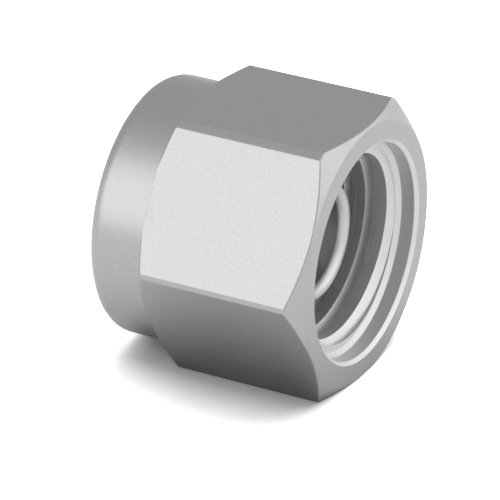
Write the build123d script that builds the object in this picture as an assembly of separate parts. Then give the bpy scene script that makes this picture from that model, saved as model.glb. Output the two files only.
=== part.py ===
from build123d import *
import math
import os

# Tube plug for a two-ferrule tube fitting, quarter-inch tube size.
# The +X axis is the turning axis and points out of the port. The origin is on
# that axis at the port's front face, and +Z is up. The plug lies on one flat.
# All lengths are millimetres, and all angles are degrees.

# Hexagon bar
across_flats = 14.2875       # nine sixteenths of an inch between wrench flats
hex_length = 9.5
corner_trim = 0.08           # turned off each of the hexagon's corners
bar_runout = 0.09            # the bar sits this far above the turning axis
chamfer_angle = 30.0         # of both end chamfers, from the end faces
front_chamfer_width = 1.12   # radial, from the trimmed corners inwards
back_chamfer_width = 0.83

# Neck
nut_length = 12.9
neck_step = 0.14             # the neck is turned this far below the flats
neck_round = 0.85            # rounding of the neck's back edge

# Port of the nut, from its mouth inwards
rim_break = 0.19             # edge break round the mouth
recess_wall = 1.29           # from the flats to the plain recess, which clears the mating thread
recess_depth = 0.95
recess_corner = 0.23         # chamfered corner between the recess and its flat bottom
thread_step = 0.8            # from the recess in to the crests of the 7/16-20 thread
chamber_length = 0.55        # of the room for the insert's collar
chamber_gap = 0.3            # between that room's wall and the collar
cone_angle = 45.0            # of every cone in the nut, from its axis

# Rear bore of the nut, with a countersink that the insert's staked end fills
rear_bore_step = 1.1         # from the collar's edge in to the rear bore
rear_bore_length = 2.6
rear_sink_width = 0.5        # radial

# Insert
nose_gap = 1.95              # between the thread's crests and the nose
nose_length = 2.4
nose_wall = 0.6
nose_bore_depth = 3.8        # of the full bore, from the nose's rim
nose_rim_round = 0.5         # rounding of the nose's inner rim
drill_point_angle = 118.0
seat_angle = 24.0            # of the cone that seals in the mating body, from its axis
seat_rise = 1.2              # that cone grows by this radius, from the nose to the collar
collar_length = 0.9
rear_recess = 0.1            # the insert's end stops this far inside the nut

# Fit between the nut and the insert
running_clearance = 0.05     # radial in the rear bore, and double that along the cones

# Radii that follow from these
corner_radius = across_flats / math.sqrt(3) - corner_trim
front_face_radius = corner_radius - front_chamfer_width
back_face_radius = corner_radius - back_chamfer_width
neck_radius = across_flats / 2 - neck_step
recess_radius = across_flats / 2 - recess_wall
thread_minor_radius = recess_radius - thread_step
nose_radius = thread_minor_radius - nose_gap
nose_bore_radius = nose_radius - nose_wall
collar_radius = nose_radius + seat_rise
chamber_radius = collar_radius + chamber_gap
rear_bore_radius = collar_radius - rear_bore_step
rear_sink_radius = rear_bore_radius + rear_sink_width


def cone_length(radius_change, angle):
    """Axial length of a cone at this angle to its axis."""
    return radius_change / math.tan(math.radians(angle))


def sink_start():
    """x where the nut's rear bore ends and its countersink starts."""
    return -nut_length + cone_length(rear_sink_width, cone_angle)


def drive_cone(radius):
    """x on the nut's drive cone, which pushes the insert, at this radius."""
    cone_start = sink_start() + rear_bore_length
    return cone_start + cone_length(radius - rear_bore_radius, cone_angle)


def turned(outline):
    """Solid of revolution about the X axis from a closed outline of (x, radius) points."""
    with BuildPart() as part:
        with BuildSketch(Plane.XZ):
            with BuildLine():
                Polyline(*outline, close=True)
            make_face()
        revolve(axis=Axis.X)
    return part.part


def hexagon_bar():
    """Hexagon bar with one flat on top and one underneath."""
    hexagon = RegularPolygon(across_flats / 2, 6, major_radius=False)
    return extrude(Plane.YZ * Pos(0, bar_runout) * hexagon, -hex_length)


def turned_envelope():
    """Turned form that trims the bar's corners and chamfers both of its ends."""
    rise = math.tan(math.radians(chamfer_angle))
    front_chamfer = front_chamfer_width * rise
    back_chamfer = back_chamfer_width * rise
    return turned(
        [
            (0, 0),
            (0, front_face_radius),
            (-front_chamfer, corner_radius),
            (-hex_length + back_chamfer, corner_radius),
            (-hex_length, back_face_radius),
            (-hex_length, 0),
        ]
    )


def neck():
    """Round neck behind the hexagon, with its back edge rounded."""
    body = turned(
        [
            (-hex_length, 0),
            (-hex_length, neck_radius),
            (-nut_length, neck_radius),
            (-nut_length, 0),
        ]
    )
    back_edge = body.edges().filter_by(GeomType.CIRCLE).sort_by(Axis.X)[0]
    return fillet(back_edge, neck_round)


def port():
    """Everything that is bored out of the nut, from its mouth to its rear countersink."""
    recess_bottom = -recess_depth - cone_length(recess_corner, cone_angle)
    chamber_step = cone_length(thread_minor_radius - chamber_radius, cone_angle)
    chamber_end = drive_cone(chamber_radius)
    chamber_start = chamber_end + chamber_length
    return turned(
        [
            (0, 0),
            (0, recess_radius + rim_break),
            (-rim_break, recess_radius),
            (-recess_depth, recess_radius),
            (recess_bottom, recess_radius - recess_corner),
            (recess_bottom, thread_minor_radius),
            (chamber_start + chamber_step, thread_minor_radius),
            (chamber_start, chamber_radius),
            (chamber_end, chamber_radius),
            (drive_cone(rear_bore_radius), rear_bore_radius),
            (sink_start(), rear_bore_radius),
            (-nut_length, rear_sink_radius),
            (-nut_length, 0),
        ]
    )


def make_nut():
    """The nut in one piece: hexagon and neck, with the port bored through both."""
    return (hexagon_bar() & turned_envelope()) + neck() - port()


def make_insert():
    """The insert in one piece: hollow nose, sealing cone, collar, shank and staked end."""
    collar_back = drive_cone(collar_radius) + 2 * running_clearance
    collar_front = collar_back + collar_length
    nose_back = collar_front + cone_length(seat_rise, seat_angle)
    nose_rim = nose_back + nose_length

    bore_end = nose_rim - nose_bore_depth
    bore_point = bore_end - cone_length(nose_bore_radius, drill_point_angle / 2)

    shank_radius = rear_bore_radius - running_clearance
    shank_start = collar_back - cone_length(collar_radius - shank_radius, cone_angle)
    shank_end = sink_start() - running_clearance
    rear_face = -nut_length + rear_recess
    staked_rise = (shank_end - rear_face) * math.tan(math.radians(cone_angle))
    body = turned(
        [
            (nose_rim, nose_bore_radius),
            (nose_rim, nose_radius),
            (nose_back, nose_radius),
            (collar_front, collar_radius),
            (collar_back, collar_radius),
            (shank_start, shank_radius),
            (shank_end, shank_radius),
            (rear_face, shank_radius + staked_rise),
            (rear_face, 0),
            (bore_point, 0),
            (bore_end, nose_bore_radius),
        ]
    )
    rim = body.edges().filter_by(GeomType.CIRCLE).filter_by_position(Axis.X, nose_rim, nose_rim)
    return fillet(rim.sort_by(SortBy.RADIUS)[0], nose_rim_round)


os.makedirs("parts", exist_ok=True)
export_step(make_nut(), "parts/plug_nut.step")
export_step(make_insert(), "parts/plug_insert.step")
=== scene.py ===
"""Tube plug: a satin steel hexagon nut with a hollow-nosed insert that turns in its port.

Pieces are modelled in millimetres and brought to metres when they are finished.
The +X axis is the turning axis and points out of the port, and +Z is up.
"""

import logging
import math
from collections.abc import Callable
from dataclasses import dataclass
from enum import Enum

import bmesh
import bpy
from mathutils import Matrix, Quaternion, Vector


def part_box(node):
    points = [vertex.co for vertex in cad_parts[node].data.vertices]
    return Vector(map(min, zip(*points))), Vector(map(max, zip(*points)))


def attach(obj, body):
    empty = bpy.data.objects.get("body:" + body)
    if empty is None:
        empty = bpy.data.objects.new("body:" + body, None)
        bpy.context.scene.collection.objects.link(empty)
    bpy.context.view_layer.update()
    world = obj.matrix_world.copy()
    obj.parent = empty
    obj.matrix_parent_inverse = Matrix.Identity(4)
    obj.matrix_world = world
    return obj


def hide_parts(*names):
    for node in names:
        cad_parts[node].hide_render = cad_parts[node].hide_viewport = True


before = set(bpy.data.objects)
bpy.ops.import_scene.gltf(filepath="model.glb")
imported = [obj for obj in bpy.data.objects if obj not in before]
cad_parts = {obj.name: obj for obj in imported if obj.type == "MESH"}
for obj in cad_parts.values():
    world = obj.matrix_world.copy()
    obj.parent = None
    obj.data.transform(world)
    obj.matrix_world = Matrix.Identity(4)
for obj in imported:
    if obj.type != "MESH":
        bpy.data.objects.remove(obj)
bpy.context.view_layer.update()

log = logging.getLogger("tube_plug")

MM = 0.001
QUARTER_TURN = math.pi / 2
FULL_TURN = 2 * math.pi

# Lengths in millimetres
MERGE_DISTANCE = 1e-5        # corners closer than this are one corner
RING_GAP = 1e-3              # the last ring of a closed outline meets the first within this

WHITE = 1.0                  # strength or tone of what shows as white

Outline = list[tuple[float, float]]
Signal = bpy.types.NodeSocket | float


class Body(Enum):
    """The two bodies of the plug."""

    NUT = "nut"
    INSERT = "insert"


class NutSurface(Enum):
    """The nut's surfaces that differ in finish, by their place among its materials. The bore's
    lighter tone is painted light and the mouth face's darker tone is painted shade.
    """

    FLATS = 0
    TURNED = 1
    NECK = 2
    BORE = 3
    MOUTH_FACE = 4


def select_only(piece: bpy.types.Object) -> None:
    """Deselects everything, then selects one piece and makes it active.

    Args:
        piece: The object that the next operators act on.
    """
    if bpy.context.object and bpy.context.object.mode != "OBJECT":
        bpy.ops.object.mode_set(mode="OBJECT")
    bpy.ops.object.select_all(action="DESELECT")
    piece.select_set(True)
    bpy.context.view_layer.objects.active = piece


def select_where(piece: bpy.types.Object, wanted: Callable[[Vector], bool]) -> None:
    """Selects the corners of a piece in edit mode by their place.

    Args:
        piece: The object that is being edited.
        wanted: Says of a corner's place whether it is selected.
    """
    bpy.ops.mesh.select_all(action="DESELECT")
    mesh = bmesh.from_edit_mesh(piece.data)
    for vertex in mesh.verts:
        vertex.select_set(wanted(vertex.co))
    mesh.select_flush(True)
    bmesh.update_edit_mesh(piece.data)


def apply_modifier(piece: bpy.types.Object, modifier: bpy.types.Modifier) -> None:
    """Applies one modifier to its piece.

    Args:
        piece: The object that has the modifier.
        modifier: The modifier to apply.
    """
    select_only(piece)
    bpy.ops.object.modifier_apply(modifier=modifier.name)


def cut(piece: bpy.types.Object, tool: bpy.types.Object) -> None:
    """Cuts a piece with a tool solid, which is used up.

    Args:
        piece: The solid that is cut.
        tool: The solid whose room is taken out of it.
    """
    modifier = piece.modifiers.new("cut", "BOOLEAN")
    modifier.operation = "DIFFERENCE"
    modifier.solver = "EXACT"
    modifier.object = tool
    apply_modifier(piece, modifier)
    bpy.data.objects.remove(tool, do_unlink=True)


def cone_length(radius_change: float, angle: float) -> float:
    """Axial length of a cone.

    Args:
        radius_change: How much the cone's radius changes.
        angle: The cone's angle to its axis, in degrees.

    Returns:
        The length along the axis.
    """
    return radius_change / math.tan(math.radians(angle))


def eased(outline: Outline, easing: dict[int, float], steps: int) -> Outline:
    """Rounds some corners of an outline with arcs.

    Args:
        outline: The (x, radius) corners. It is closed where its first corner is rounded too.
        easing: Corner number to how far from the corner its arc starts.
        steps: Straight pieces in each arc.

    Returns:
        The outline with each of those corners replaced by points on an arc.
    """
    points = []
    for number, corner in enumerate(outline):
        if number not in easing:
            points.append(corner)
            continue
        middle = Vector(corner)
        before = (Vector(outline[number - 1]) - middle).normalized()
        after = (Vector(outline[(number + 1) % len(outline)]) - middle).normalized()
        weight = math.sin(before.angle(after) / 2)
        for step in range(steps + 1):
            t = step / steps
            shares = ((1 - t) ** 2, 2 * t * (1 - t) * weight, t**2)
            offset = (before * shares[0] + after * shares[2]) * easing[number] / sum(shares)
            points.append(tuple(middle + offset))
    return points


def even_columns(count: int) -> list[float]:
    """Angles that divide a full turn evenly."""
    return [FULL_TURN * number / count for number in range(count)]


def turn(
    name: str, outline: Outline, columns: list[float], tip: float | None = None
) -> bpy.types.Object:
    """Turned solid: a ring that is extruded and resized from point to point.

    Args:
        name: The new object's name.
        outline: The (x, radius) corners. Without a tip it closes from its last corner to its first.
        columns: The angles of the ring's corners, from +Y towards +Z, in radians.
        tip: Where the last ring closes in a point on the axis. The first ring is then filled.

    Returns:
        The closed solid, with its faces outwards.
    """
    x, radius = outline[0]
    bpy.ops.object.select_all(action="DESELECT")
    bpy.ops.mesh.primitive_circle_add(
        vertices=len(columns),
        radius=radius,
        fill_type="NOTHING" if tip is None else "NGON",
        location=(x, 0, 0),
        rotation=(0, QUARTER_TURN, 0),
    )
    piece = bpy.context.object
    piece.name = name
    bpy.ops.object.transform_apply(location=True, rotation=True, scale=True)
    for vertex, angle in zip(piece.data.vertices, columns):
        vertex.co = (x, radius * math.cos(angle), radius * math.sin(angle))
    bpy.ops.object.mode_set(mode="EDIT")
    bpy.ops.mesh.select_all(action="SELECT")
    rings = outline + [outline[0]] if tip is None else outline
    for start, end in zip(rings, rings[1:]):
        step = (end[0] - start[0], 0, 0)
        growth = end[1] / start[1]
        bpy.ops.mesh.extrude_region_move(TRANSFORM_OT_translate={"value": step})
        bpy.ops.transform.resize(value=(1, growth, growth), center_override=(end[0], 0, 0))
    if tip is not None:
        step = (tip - outline[-1][0], 0, 0)
        bpy.ops.mesh.extrude_region_move(TRANSFORM_OT_translate={"value": step})
        bpy.ops.mesh.merge(type="CENTER")
    bpy.ops.mesh.select_all(action="SELECT")
    bpy.ops.mesh.remove_doubles(threshold=RING_GAP)
    bpy.ops.mesh.normals_make_consistent(inside=False)
    bpy.ops.object.mode_set(mode="OBJECT")
    return piece


def finish_mesh(piece: bpy.types.Object, smooth_angle: float) -> None:
    """Cleans a finished solid, shades it and brings it from millimetres to metres.

    Args:
        piece: The solid.
        smooth_angle: Edges that turn by more than this many degrees stay sharp.
    """
    select_only(piece)
    bpy.ops.object.mode_set(mode="EDIT")
    bpy.ops.mesh.select_all(action="SELECT")
    bpy.ops.mesh.remove_doubles(threshold=MERGE_DISTANCE)
    bpy.ops.mesh.dissolve_degenerate(threshold=MERGE_DISTANCE)
    bpy.ops.mesh.normals_make_consistent(inside=False)
    bpy.ops.object.mode_set(mode="OBJECT")
    bpy.ops.object.shade_smooth_by_angle(angle=math.radians(smooth_angle))
    weighting = piece.modifiers.new("even_shading", "WEIGHTED_NORMAL")
    weighting.keep_sharp = True
    apply_modifier(piece, weighting)
    piece.data.transform(Matrix.Scale(MM, 4))
    piece.data.update()


def feed(tree: bpy.types.NodeTree, socket: bpy.types.NodeSocket, value: Signal) -> None:
    """Gives a node's input its value.

    Args:
        tree: The node tree that the node is in.
        socket: The input.
        value: A socket that is linked to it, or a number that is set.
    """
    if isinstance(value, bpy.types.NodeSocket):
        tree.links.new(value, socket)
    else:
        socket.default_value = value


def math_node(tree: bpy.types.NodeTree, operation: str, *values: Signal) -> bpy.types.NodeSocket:
    """Adds a math node.

    Args:
        tree: The node tree that it goes into.
        operation: What it does, such as ADD.
        values: Its inputs, in order.

    Returns:
        Its output.
    """
    node = tree.nodes.new("ShaderNodeMath")
    node.operation = operation
    for socket, value in zip(node.inputs, values):
        feed(tree, socket, value)
    return node.outputs["Value"]


def mix_node(
    tree: bpy.types.NodeTree, factor: Signal, low: Signal, high: Signal
) -> bpy.types.NodeSocket:
    """Adds a node that mixes two values.

    Args:
        tree: The node tree that it goes into.
        factor: The share of the second value, from 0 to 1.
        low: The first value.
        high: The second value.

    Returns:
        Its output.
    """
    node = tree.nodes.new("ShaderNodeMix")
    for name, value in (("Factor", factor), ("A", low), ("B", high)):
        feed(tree, node.inputs[name], value)
    return node.outputs["Result"]


def noise_node(
    tree: bpy.types.NodeTree, place: Signal, scale: Signal, detail: float, dimensions: str = "3D"
) -> bpy.types.NodeSocket:
    """Adds a noise texture.

    Args:
        tree: The node tree that it goes into.
        place: The point, or in one dimension the number, that it is read at.
        scale: How fine it is.
        detail: How many finer layers it has.
        dimensions: 3D or 1D.

    Returns:
        Its value, from 0 to 1.
    """
    node = tree.nodes.new("ShaderNodeTexNoise")
    node.noise_dimensions = dimensions
    feed(tree, node.inputs["W" if dimensions == "1D" else "Vector"], place)
    feed(tree, node.inputs["Scale"], scale)
    node.inputs["Detail"].default_value = detail
    return node.outputs["Fac"]


@dataclass(frozen=True)
class SteelGrain:
    """The surface of machined steel, as a node group that its finishes share."""

    name: str = "steel_grain"
    grain_detail: float = 2.0
    mark_detail: float = 3.0
    cloud_scale: float = 0.5
    cloud_detail: float = 3.0

    def group(self) -> bpy.types.ShaderNodeTree:
        """Finds the node group, or builds it the first time.

        Returns:
            A group that puts out a bump height, a fine speckle and a slow cloud.
        """
        if self.name in bpy.data.node_groups:
            return bpy.data.node_groups[self.name]
        group = bpy.data.node_groups.new(self.name, "ShaderNodeTree")
        for socket in ("Grain Size", "Mark Spacing", "Mark Share"):
            group.interface.new_socket(socket, in_out="INPUT", socket_type="NodeSocketFloat")
        for socket in ("Height", "Speckle", "Cloud"):
            group.interface.new_socket(socket, in_out="OUTPUT", socket_type="NodeSocketFloat")
        given = group.nodes.new("NodeGroupInput").outputs
        result = group.nodes.new("NodeGroupOutput").inputs

        to_mm = group.nodes.new("ShaderNodeMapping")
        to_mm.inputs["Scale"].default_value = (1 / MM, 1 / MM, 1 / MM)
        place = group.nodes.new("ShaderNodeTexCoord").outputs["Object"]
        group.links.new(place, to_mm.inputs["Vector"])
        place = to_mm.outputs["Vector"]

        fineness = math_node(group, "DIVIDE", 1.0, given["Grain Size"])
        grain = noise_node(group, place, fineness, self.grain_detail)
        fineness = math_node(group, "DIVIDE", 1.0, given["Mark Spacing"])
        along = self.along_outline(group, place)
        marks = noise_node(group, along, fineness, self.mark_detail, "1D")
        height = mix_node(group, given["Mark Share"], grain, marks)
        cloud = noise_node(group, place, self.cloud_scale, self.cloud_detail)
        for name, value in (("Height", height), ("Speckle", grain), ("Cloud", cloud)):
            group.links.new(value, result[name])
        return group

    def along_outline(
        self, group: bpy.types.ShaderNodeTree, place: bpy.types.NodeSocket
    ) -> bpy.types.NodeSocket:
        """Number that the turning tool's marks follow, over end faces and cylinders alike.

        Args:
            group: The node group.
            place: The point, in millimetres.

        Returns:
            The sum of its x and its distance from the turning axis.
        """
        parts = group.nodes.new("ShaderNodeSeparateXYZ")
        group.links.new(place, parts.inputs["Vector"])
        across = group.nodes.new("ShaderNodeCombineXYZ")
        for axis in "YZ":
            group.links.new(parts.outputs[axis], across.inputs[axis])
        radius = group.nodes.new("ShaderNodeVectorMath")
        radius.operation = "LENGTH"
        group.links.new(across.outputs["Vector"], radius.inputs[0])
        return math_node(group, "ADD", radius.outputs["Value"], parts.outputs["X"])


@dataclass(frozen=True)
class SteelFinish:
    """A finish of bare stainless steel. Lengths are in millimetres."""

    name: str
    tone: float
    roughness: float
    grain_size: float
    grain_depth: float
    mark_spacing: float
    mark_depth: float
    mottling: float
    roughness_spread: float = 0.03

    def material(self) -> bpy.types.Material:
        """Makes the material.

        Returns:
            A metal with this finish's grain, tool marks and tone.
        """
        material = bpy.data.materials.new(self.name)
        material.use_nodes = True
        nodes, links = material.node_tree.nodes, material.node_tree.links
        shader = nodes["Principled BSDF"]
        shader.inputs["Metallic"].default_value = 1.0
        grain = nodes.new("ShaderNodeGroup")
        grain.node_tree = SteelGrain().group()
        depth = self.mark_depth + self.grain_depth
        grain.inputs["Grain Size"].default_value = self.grain_size
        grain.inputs["Mark Spacing"].default_value = self.mark_spacing
        grain.inputs["Mark Share"].default_value = self.mark_depth / depth
        bump = nodes.new("ShaderNodeBump")
        bump.inputs["Strength"].default_value = 1.0
        bump.inputs["Distance"].default_value = depth * MM
        links.new(grain.outputs["Height"], bump.inputs["Height"])
        links.new(bump.outputs["Normal"], shader.inputs["Normal"])
        rough = nodes.new("ShaderNodeMapRange")
        rough.inputs["To Min"].default_value = self.roughness - self.roughness_spread
        rough.inputs["To Max"].default_value = self.roughness + self.roughness_spread
        links.new(grain.outputs["Cloud"], rough.inputs["Value"])
        links.new(rough.outputs["Result"], shader.inputs["Roughness"])
        colour = nodes.new("ShaderNodeMix")
        colour.data_type = "RGBA"
        for socket, share in (("A", 1 - self.mottling), ("B", 1 + self.mottling)):
            grey = self.tone * share
            colour.inputs[socket].default_value = (grey, grey, grey, 1)
        links.new(grain.outputs["Speckle"], colour.inputs["Factor"])
        links.new(colour.outputs["Result"], shader.inputs["Base Color"])
        return material


NUT_FINISHES = {
    NutSurface.FLATS: SteelFinish(
        "steel_flats",
        tone=0.50,
        roughness=0.32,
        grain_size=0.09,
        grain_depth=0.005,
        mark_spacing=0.2,
        mark_depth=0.0006,
        mottling=0.16,
    ),
    NutSurface.TURNED: SteelFinish(
        "steel_turned_faces",
        tone=0.50,
        roughness=0.32,
        grain_size=0.08,
        grain_depth=0.002,
        mark_spacing=0.09,
        mark_depth=0.0014,
        mottling=0.12,
    ),
    NutSurface.NECK: SteelFinish(
        "steel_neck",
        tone=0.50,
        roughness=0.34,
        grain_size=0.08,
        grain_depth=0.006,
        mark_spacing=0.12,
        mark_depth=0.0004,
        mottling=0.16,
    ),
    # The bore's tone is lighter than the other steel's: painted light that brightens the shaded bore
    # and its thread.
    NutSurface.BORE: SteelFinish(
        "steel_bore_painted_light",
        tone=0.76,
        roughness=0.48,
        grain_size=0.08,
        grain_depth=0.0004,
        mark_spacing=0.07,
        mark_depth=0.0008,
        mottling=0.06,
    ),
    # The mouth face's tone is a little darker than the turned faces': painted shade that dims its
    # reflection. Its stronger mottling is grain.
    NutSurface.MOUTH_FACE: SteelFinish(
        "steel_port_face_painted_shade",
        tone=0.48,
        roughness=0.36,
        grain_size=0.08,
        grain_depth=0.003,
        mark_spacing=0.09,
        mark_depth=0.001,
        mottling=0.16,
    ),
}
INSERT_FINISH = SteelFinish(
    "steel_insert",
    tone=0.62,
    roughness=0.34,
    grain_size=0.08,
    grain_depth=0.0003,
    mark_spacing=0.08,
    mark_depth=0.0008,
    mottling=0.04,
)


@dataclass
class PortThread:
    """The 7/16-20 internal thread of the port, cut as one helical groove."""

    pitch: float = 1.27
    root_radius: float = 5.56
    flank_angle: float = 30.0
    root_half_width: float = 0.08
    tool_radius: float = 4.85    # the tool's inner side, well inside the bore that it cuts
    first_groove: float = -6.147  # x of the innermost groove's middle, on the +Y side
    turns: int = 5
    steps: int = 144

    def half_width(self, radius: float) -> float:
        """Half of the groove's width at a radius."""
        flank = math.tan(math.radians(self.flank_angle))
        return self.root_half_width + (self.root_radius - radius) * flank

    def tool(self) -> bpy.types.Object:
        """Makes the solid that the groove is cut with.

        Returns:
            A right-hand helical ridge with the groove's section, closed at both ends.
        """
        tool_half_width = self.half_width(self.tool_radius)
        middle = (self.tool_radius + self.root_radius) / 2
        height = self.root_radius - self.tool_radius
        bpy.ops.object.select_all(action="DESELECT")
        bpy.ops.mesh.primitive_plane_add(size=1, location=(self.first_groove, middle, 0))
        tool = bpy.context.object
        tool.name = "thread_tool"
        tool.scale = (2 * tool_half_width, height, 1)
        bpy.ops.object.transform_apply(location=True, rotation=True, scale=True)
        bpy.ops.object.mode_set(mode="EDIT")
        select_where(tool, lambda corner: corner.y > middle)
        bpy.ops.transform.resize(
            value=(self.root_half_width / tool_half_width, 1, 1),
            center_override=(self.first_groove, self.root_radius, 0),
        )
        bpy.ops.object.mode_set(mode="OBJECT")
        screw = tool.modifiers.new("screw", "SCREW")
        screw.axis = "X"
        screw.angle = FULL_TURN
        screw.screw_offset = self.pitch
        screw.iterations = self.turns
        screw.steps = self.steps
        screw.render_steps = self.steps
        apply_modifier(tool, screw)
        bpy.ops.object.mode_set(mode="EDIT")
        bpy.ops.mesh.select_all(action="SELECT")
        bpy.ops.mesh.fill_holes(sides=0)
        bpy.ops.mesh.select_all(action="SELECT")
        bpy.ops.mesh.normals_make_consistent(inside=False)
        bpy.ops.object.mode_set(mode="OBJECT")
        return tool


@dataclass
class PlugNut:
    """The nut: a chamfered hexagon and a round neck, with the threaded port bored through."""

    across_flats: float
    bar_runout: float
    corner_radius: float
    nut_length: float
    hex_length: float = 9.5
    chamfer_angle: float = 30.0
    front_chamfer_width: float = 1.12
    back_chamfer_width: float = 0.83
    neck_step: float = 0.14
    neck_round: float = 0.85
    rim_break: float = 0.19
    recess_wall: float = 1.29
    recess_depth: float = 0.95
    recess_corner: float = 0.23
    thread_step: float = 0.8
    chamber_radius: float = 4.604
    chamber_start: float = 7.85
    chamber_end: float = 8.4
    rear_bore_radius: float = 3.204
    rear_sink_width: float = 0.5
    face_edge: float = 0.16      # the rounding of each edge starts this far from it
    flat_edge: float = 0.08
    land_edge: float = 0.045
    rim_edge: float = 0.03
    edge_share: float = 0.4      # of a narrow chamfer, at most, goes to the rounding of one edge
    edge_steps: int = 6
    least_chamfer: float = 0.03
    face_margin: float = 0.04    # the mouth's face has its own finish down to this depth: its grain is real, and its darker tone is painted shade
    neck_margin: float = 0.02    # the hexagon's back edge is turned up to here
    back_margin: float = 0.1     # the bore's finish, whose lighter tone is painted light, ends this far inside the back face
    steepest_flat: float = 0.2   # how far a flat's normal may lean along the axis
    columns_per_flat: int = 40
    smooth_angle: float = 34.0

    @classmethod
    def from_frame(cls, node: str) -> "PlugNut":
        """Takes the nut's main sizes from its solid.

        Args:
            node: The name of the nut's solid.

        Returns:
            A nut with the solid's width across flats, place, corner radius and length.
        """
        low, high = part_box(node)
        return cls(
            across_flats=(high.z - low.z) / MM,
            bar_runout=(high.z + low.z) / 2 / MM,
            corner_radius=high.y / MM,
            nut_length=(high.x - low.x) / MM,
        )

    @property
    def neck_radius(self) -> float:
        """Radius of the round neck."""
        return self.across_flats / 2 - self.neck_step

    @property
    def recess_radius(self) -> float:
        """Radius of the plain recess in the mouth."""
        return self.across_flats / 2 - self.recess_wall

    @property
    def crest_radius(self) -> float:
        """Radius of the bore that the thread is cut into."""
        return self.recess_radius - self.thread_step

    def flat_distance(self, number: int) -> float:
        """Distance from the turning axis to one of the six flats."""
        return self.across_flats / 2 + self.bar_runout * math.sin(self.flat_angle(number))

    def flat_angle(self, number: int) -> float:
        """Direction that one of the six flats faces, from +Y towards +Z."""
        return math.radians(30 + 60 * number)

    def outer_radius(self, angle: float) -> float:
        """How far the hexagon's surface is from the turning axis in one direction.

        Args:
            angle: The direction, from +Y towards +Z.

        Returns:
            The distance to the flat there, or to the turned corner.
        """
        reach = [self.corner_radius]
        for number in range(6):
            facing = math.cos(angle - self.flat_angle(number))
            if facing > 0:
                reach.append(self.flat_distance(number) / facing)
        return min(reach)

    def columns(self) -> list[float]:
        """Angles of the mesh's columns, with one on each long edge and one close on either side.

        Returns:
            The angles in rising order.
        """
        angles = []
        edge = self.land_edge / self.corner_radius
        for number in range(6):
            half_flat = math.acos(self.flat_distance(number) / self.corner_radius)
            middle = self.flat_angle(number)
            for side in (-1, 1):
                angles.extend(middle + side * half_flat + offset for offset in (-edge, 0.0, edge))
            span = 2 * (half_flat - edge)
            for step in range(1, self.columns_per_flat):
                angles.append(middle - span / 2 + span * step / self.columns_per_flat)
        return sorted(angles)

    def section(self, angle: float) -> Outline:
        """Closed outline of the nut's section in one direction.

        Args:
            angle: The direction, from +Y towards +Z.

        Returns:
            Its (x, radius) points, from the mouth over the outside and back through the bore.
        """
        slope = math.radians(self.chamfer_angle)
        outer = self.outer_radius(angle)
        front = min(self.corner_radius - self.front_chamfer_width, outer - self.least_chamfer)
        back = min(self.corner_radius - self.back_chamfer_width, outer - self.least_chamfer)
        front_room = self.edge_share * (outer - front) / math.cos(slope)
        back_room = self.edge_share * (outer - back) / math.cos(slope)
        step_room = self.edge_share * (back - self.neck_radius)
        sink_radius = self.rear_bore_radius + self.rear_sink_width
        cone = self.chamber_radius - self.rear_bore_radius
        step = self.crest_radius - self.chamber_radius
        recess_bottom = -self.recess_depth - self.recess_corner
        corners = [
            (0.0, self.recess_radius + self.rim_break),
            (0.0, front),
            (-(outer - front) * math.tan(slope), outer),
            (-self.hex_length + (outer - back) * math.tan(slope), outer),
            (-self.hex_length, back),
            (-self.hex_length, self.neck_radius),
            (-self.nut_length, self.neck_radius),
            (-self.nut_length, sink_radius),
            (-self.nut_length + self.rear_sink_width, self.rear_bore_radius),
            (-self.chamber_end - cone, self.rear_bore_radius),
            (-self.chamber_end, self.chamber_radius),
            (-self.chamber_start, self.chamber_radius),
            (-self.chamber_start + step, self.crest_radius),
            (recess_bottom, self.crest_radius),
            (recess_bottom, self.recess_radius - self.recess_corner),
            (-self.recess_depth, self.recess_radius),
            (-self.rim_break, self.recess_radius),
        ]
        easing = {
            0: self.rim_edge,
            1: min(self.face_edge, front_room),
            2: min(self.flat_edge, front_room),
            3: min(self.flat_edge, back_room),
            4: min(self.flat_edge, back_room, step_room),
            6: self.neck_round,
            15: self.rim_edge,
            16: self.rim_edge,
        }
        return eased(corners, easing, self.edge_steps)

    def mill(self, blank: bpy.types.Object, outline: Outline) -> None:
        """Takes the hexagon's flats off a turned blank.

        Args:
            blank: The turned solid.
            outline: The outline that it was turned from.
        """
        rows = {(round(x, 4), round(radius, 4)): row for row, (x, radius) in enumerate(outline)}
        sections = {}
        for vertex in blank.data.vertices:
            angle = math.atan2(vertex.co.z, vertex.co.y)
            radius = math.hypot(vertex.co.y, vertex.co.z)
            nearest = min(
                rows, key=lambda place: abs(place[0] - vertex.co.x) + abs(place[1] - radius)
            )
            column = round(angle, 5)
            if column not in sections:
                sections[column] = self.section(angle)
            x, radius = sections[column][rows[nearest]]
            vertex.co = (x, radius * math.cos(angle), radius * math.sin(angle))

    def build(self) -> bpy.types.Object:
        """Makes the nut's mesh.

        Returns:
            The finished piece, in metres.
        """
        columns = self.columns()
        outline = self.section(columns[0])
        body = turn("nut_body", outline, columns)
        self.mill(body, outline)
        cut(body, PortThread().tool())
        finish_mesh(body, self.smooth_angle)
        return body

    def surface(self, face: bpy.types.MeshPolygon) -> NutSurface:
        """Finds which surface of the nut a face belongs to.

        Args:
            face: A face of the finished mesh.

        Returns:
            The surface, which decides the face's finish.
        """
        x = face.center.x / MM
        radius = math.hypot(face.center.y, face.center.z) / MM
        if radius < self.recess_radius + self.rim_break and x > -self.nut_length + self.back_margin:
            return NutSurface.BORE
        if x < -self.hex_length:
            return NutSurface.NECK
        if x > -self.face_margin:
            return NutSurface.MOUTH_FACE
        if abs(face.normal.x) > self.steepest_flat or x < -self.hex_length + self.neck_margin:
            return NutSurface.TURNED
        return NutSurface.FLATS

    def dress(self, body: bpy.types.Object) -> None:
        """Gives each surface of the nut its finish, with painted light in the bore's tone and painted
        shade in the mouth face's tone.

        Args:
            body: The finished mesh.
        """
        for surface in NutSurface:
            body.data.materials.append(NUT_FINISHES[surface].material())
        for face in body.data.polygons:
            face.material_index = self.surface(face).value


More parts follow.
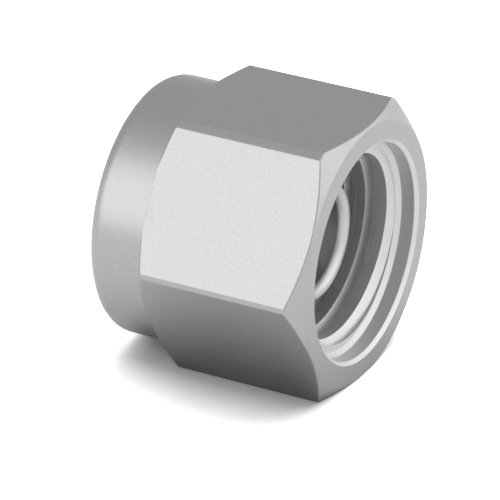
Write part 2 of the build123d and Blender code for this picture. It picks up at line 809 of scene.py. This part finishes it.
@dataclass
class PlugInsert:
    """The insert: hollow nose, sealing cone, collar, shank and staked end."""

    nose_rim: float = -2.605
    nose_radius: float = 3.104
    nose_length: float = 2.4
    nose_bore_radius: float = 2.504
    nose_bore_depth: float = 3.8
    nose_rim_round: float = 0.5
    drill_point_angle: float = 118.0
    seat_angle: float = 24.0
    collar_radius: float = 4.304
    collar_length: float = 0.9
    shank_radius: float = 3.154
    shank_end: float = -12.45
    rear_face: float = -12.8
    rim_edge: float = 0.03
    collar_edge: float = 0.08
    edge_steps: int = 10
    segments: int = 192
    smooth_angle: float = 34.0

    def build(self) -> bpy.types.Object:
        """Makes the insert's mesh.

        Returns:
            The finished piece, in metres.
        """
        nose_back = self.nose_rim - self.nose_length
        collar_front = nose_back - cone_length(self.collar_radius - self.nose_radius, self.seat_angle)
        collar_back = collar_front - self.collar_length
        shank_start = collar_back - (self.collar_radius - self.shank_radius)
        staked_radius = self.shank_radius + self.shank_end - self.rear_face
        bore_end = self.nose_rim - self.nose_bore_depth
        drill_point = bore_end - cone_length(self.nose_bore_radius, self.drill_point_angle / 2)
        corners = [
            (self.rear_face, staked_radius),
            (self.shank_end, self.shank_radius),
            (shank_start, self.shank_radius),
            (collar_back, self.collar_radius),
            (collar_front, self.collar_radius),
            (nose_back, self.nose_radius),
            (self.nose_rim, self.nose_radius),
            (self.nose_rim, self.nose_bore_radius),
            (bore_end, self.nose_bore_radius),
        ]
        easing = {
            3: self.collar_edge,
            4: self.collar_edge,
            6: self.rim_edge,
            7: self.nose_rim_round,
        }
        outline = eased(corners, easing, self.edge_steps)
        piece = turn("insert_body", outline, even_columns(self.segments), tip=drill_point)
        finish_mesh(piece, self.smooth_angle)
        return piece

    def dress(self, piece: bpy.types.Object) -> None:
        """Gives the insert its finish."""
        piece.data.materials.append(INSERT_FINISH.material())


def direction(azimuth: float, elevation: float) -> Vector:
    """Direction from the object outwards.

    Args:
        azimuth: Degrees, with 0 in front of the object, on the -Y side, and 90 on the +X side.
        elevation: Degrees above the floor.

    Returns:
        The direction, of length 1.
    """
    around, up = math.radians(azimuth), math.radians(elevation)
    return Vector((math.sin(around) * math.cos(up), -math.cos(around) * math.cos(up), math.sin(up)))


@dataclass(frozen=True)
class Softbox:
    """A square soft light that faces the object. Its size and distance are in metres."""

    name: str
    azimuth: float
    elevation: float
    radiance: float
    size: float = 0.30
    distance: float = 0.30

    def place(self, aim: Vector) -> None:
        """Adds the light. It lights the floor, and the metal shows the soft areas instead.

        Args:
            aim: The point that it faces, in metres.
        """
        outwards = direction(self.azimuth, self.elevation)
        light = bpy.data.lights.new(self.name, "AREA")
        light.shape = "SQUARE"
        light.size = self.size
        light.energy = self.radiance * math.pi * self.size**2
        box = bpy.data.objects.new(self.name, light)
        bpy.context.scene.collection.objects.link(box)
        box.location = aim + outwards * self.distance
        box.rotation_mode = "QUATERNION"
        box.rotation_quaternion = outwards.to_track_quat("Z", "Y")
        box.visible_glossy = False


@dataclass(frozen=True)
class SoftArea:
    """A soft lighter or darker area of the white surroundings, as the metal shows them.

    The whole change reaches as far as the core's angle, and none of it past the spread's.
    """

    azimuth: float
    elevation: float
    spread: float
    change: float
    core: float


@dataclass
class Studio:
    """The plain pale floor, the soft lights and the white surroundings."""

    floor_level: float
    floor_size: float = 1.2
    floor_tone: float = 0.8      # in the light that it throws
    floor_lift: float = 1.2      # added to white for the camera, so that the shadow stays compact
    world_tone: float = 0.2
    unscattered_depth: float = 0.5  # light that no diffuse surface has scattered yet is below this
    softboxes: tuple[Softbox, ...] = (
        Softbox("top_softbox", 0.0, 90.0, 2.3),
        Softbox("back_right_softbox", 150.0, 40.0, 1.0),
        Softbox("back_left_softbox", -120.0, 40.0, 0.6),
    )
    areas: tuple[SoftArea, ...] = (
        SoftArea(-28.0, 24.0, 36.0, 0.58, 20.0),
        SoftArea(125.0, 8.0, 60.0, 0.35, 20.0),
        SoftArea(-138.0, 35.0, 75.0, -0.46, 30.0),
        SoftArea(28.0, 27.0, 30.0, -0.5, 10.0),
    )

    def seen_directly(self, tree: bpy.types.NodeTree) -> bpy.types.NodeSocket:
        """Value that is 1 for rays that show the surroundings as a picture, and 0 for lighting.

        Args:
            tree: The node tree of a material or the world.

        Returns:
            The socket with that value.
        """
        path = tree.nodes.new("ShaderNodeLightPath").outputs
        either = math_node(tree, "MAXIMUM", path["Is Camera Ray"], path["Is Glossy Ray"])
        one_of_three = math_node(tree, "MAXIMUM", either, path["Is Transmission Ray"])
        unscattered = math_node(tree, "LESS_THAN", path["Diffuse Depth"], self.unscattered_depth)
        return math_node(tree, "MULTIPLY", one_of_three, unscattered)

    def floor(self) -> None:
        """Adds the floor just under the plug, white where it is seen."""
        bpy.ops.object.select_all(action="DESELECT")
        bpy.ops.mesh.primitive_plane_add(size=self.floor_size, location=(0, 0, self.floor_level))
        floor = bpy.context.object
        floor.name = "floor"
        material = bpy.data.materials.new("floor")
        material.use_nodes = True
        tree = material.node_tree
        tree.nodes.clear()
        tone = mix_node(tree, self.seen_directly(tree), self.floor_tone, WHITE)
        camera_ray = tree.nodes.new("ShaderNodeLightPath").outputs["Is Camera Ray"]
        paint = tree.nodes.new("ShaderNodeBsdfDiffuse")
        lifted = math_node(tree, "MULTIPLY_ADD", camera_ray, self.floor_lift, tone)
        tree.links.new(lifted, paint.inputs["Color"])
        output = tree.nodes.new("ShaderNodeOutputMaterial")
        tree.links.new(paint.outputs["BSDF"], output.inputs["Surface"])
        floor.data.materials.append(material)

    def reflected_tone(self, tree: bpy.types.NodeTree) -> bpy.types.NodeSocket:
        """Strength of the surroundings in the metal: white, with its soft areas.

        Args:
            tree: The world's node tree.

        Returns:
            The socket with that strength.
        """
        towards = tree.nodes.new("ShaderNodeTexCoord").outputs["Generated"]
        total = WHITE
        for area in self.areas:
            nearness = tree.nodes.new("ShaderNodeVectorMath")
            nearness.operation = "DOT_PRODUCT"
            nearness.inputs[1].default_value = direction(area.azimuth, area.elevation)
            tree.links.new(towards, nearness.inputs[0])
            change = tree.nodes.new("ShaderNodeMapRange")
            change.interpolation_type = "SMOOTHSTEP"
            change.inputs["From Min"].default_value = math.cos(math.radians(area.spread))
            change.inputs["From Max"].default_value = math.cos(math.radians(area.core))
            change.inputs["To Max"].default_value = area.change
            tree.links.new(nearness.outputs["Value"], change.inputs["Value"])
            total = math_node(tree, "ADD", change.outputs["Result"], total)
        return total

    def world(self) -> None:
        """Sets the surroundings: a soft light, and white where they are seen."""
        world = bpy.data.worlds.new("studio")
        bpy.context.scene.world = world
        world.use_nodes = True
        world.cycles.sampling_method = "NONE"
        tree = world.node_tree
        seen = self.seen_directly(tree)
        lit = mix_node(tree, seen, self.world_tone, WHITE)
        glossy_ray = tree.nodes.new("ShaderNodeLightPath").outputs["Is Glossy Ray"]
        in_metal = math_node(tree, "MULTIPLY", glossy_ray, seen)
        shown = mix_node(tree, in_metal, lit, self.reflected_tone(tree))
        background = tree.nodes["Background"]
        background.inputs["Color"].default_value = (WHITE, WHITE, WHITE, 1)
        tree.links.new(shown, background.inputs["Strength"])

    def build(self, aim: Vector) -> None:
        """Sets the whole studio up.

        Args:
            aim: The point that the lights face, in metres.
        """
        self.floor()
        self.world()
        for box in self.softboxes:
            box.place(aim)


@dataclass(frozen=True)
class PhotoCamera:
    """The photograph's viewpoint. Lengths are in millimetres and angles in degrees."""

    azimuth: float = 27.822
    elevation: float = 26.765
    roll: float = 0.303
    distance: float = 261.53
    aim: tuple[float, float, float] = (-6.475, -0.834, -1.022)
    lens: float = 359.06
    sensor: float = 36.0
    nearest: float = 0.01        # what it shows starts at this share of its distance
    farthest: float = 20.0

    def build(self) -> None:
        """Adds the camera and makes it the scene's."""
        back = direction(self.azimuth, self.elevation)
        data = bpy.data.cameras.new("photo_camera")
        data.lens = self.lens
        data.sensor_width = self.sensor
        data.clip_start = self.distance * MM * self.nearest
        data.clip_end = self.distance * MM * self.farthest
        camera = bpy.data.objects.new("photo_camera", data)
        bpy.context.scene.collection.objects.link(camera)
        camera.location = (Vector(self.aim) + back * self.distance) * MM
        camera.rotation_mode = "QUATERNION"
        upright = (-back).to_track_quat("-Z", "Y")
        camera.rotation_quaternion = Quaternion(back, math.radians(self.roll)) @ upright
        bpy.context.scene.camera = camera


def main() -> None:
    """Builds the plug, then the studio and the camera, in order."""
    logging.basicConfig(level=logging.INFO, format="%(name)s: %(message)s")
    made = (
        (PlugNut.from_frame("plug_nut"), Body.NUT, "plug_nut", "nut_shell", "nut_steel"),
        (PlugInsert(), Body.INSERT, "plug_insert", "nose_insert", "insert_steel"),
    )
    for part, body, node, name, slot in made:
        piece = part.build()
        piece.name = name
        part.dress(piece)
        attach(piece, body.value)
        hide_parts(node)
        log.info("%s: %d faces", piece.name, len(piece.data.polygons))

    low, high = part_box("plug_nut")
    Studio(floor_level=low.z).build(aim=(low + high) / 2)
    PhotoCamera().build()
    bpy.context.scene.view_settings.view_transform = "Standard"


if __name__ == "__main__":
    main()
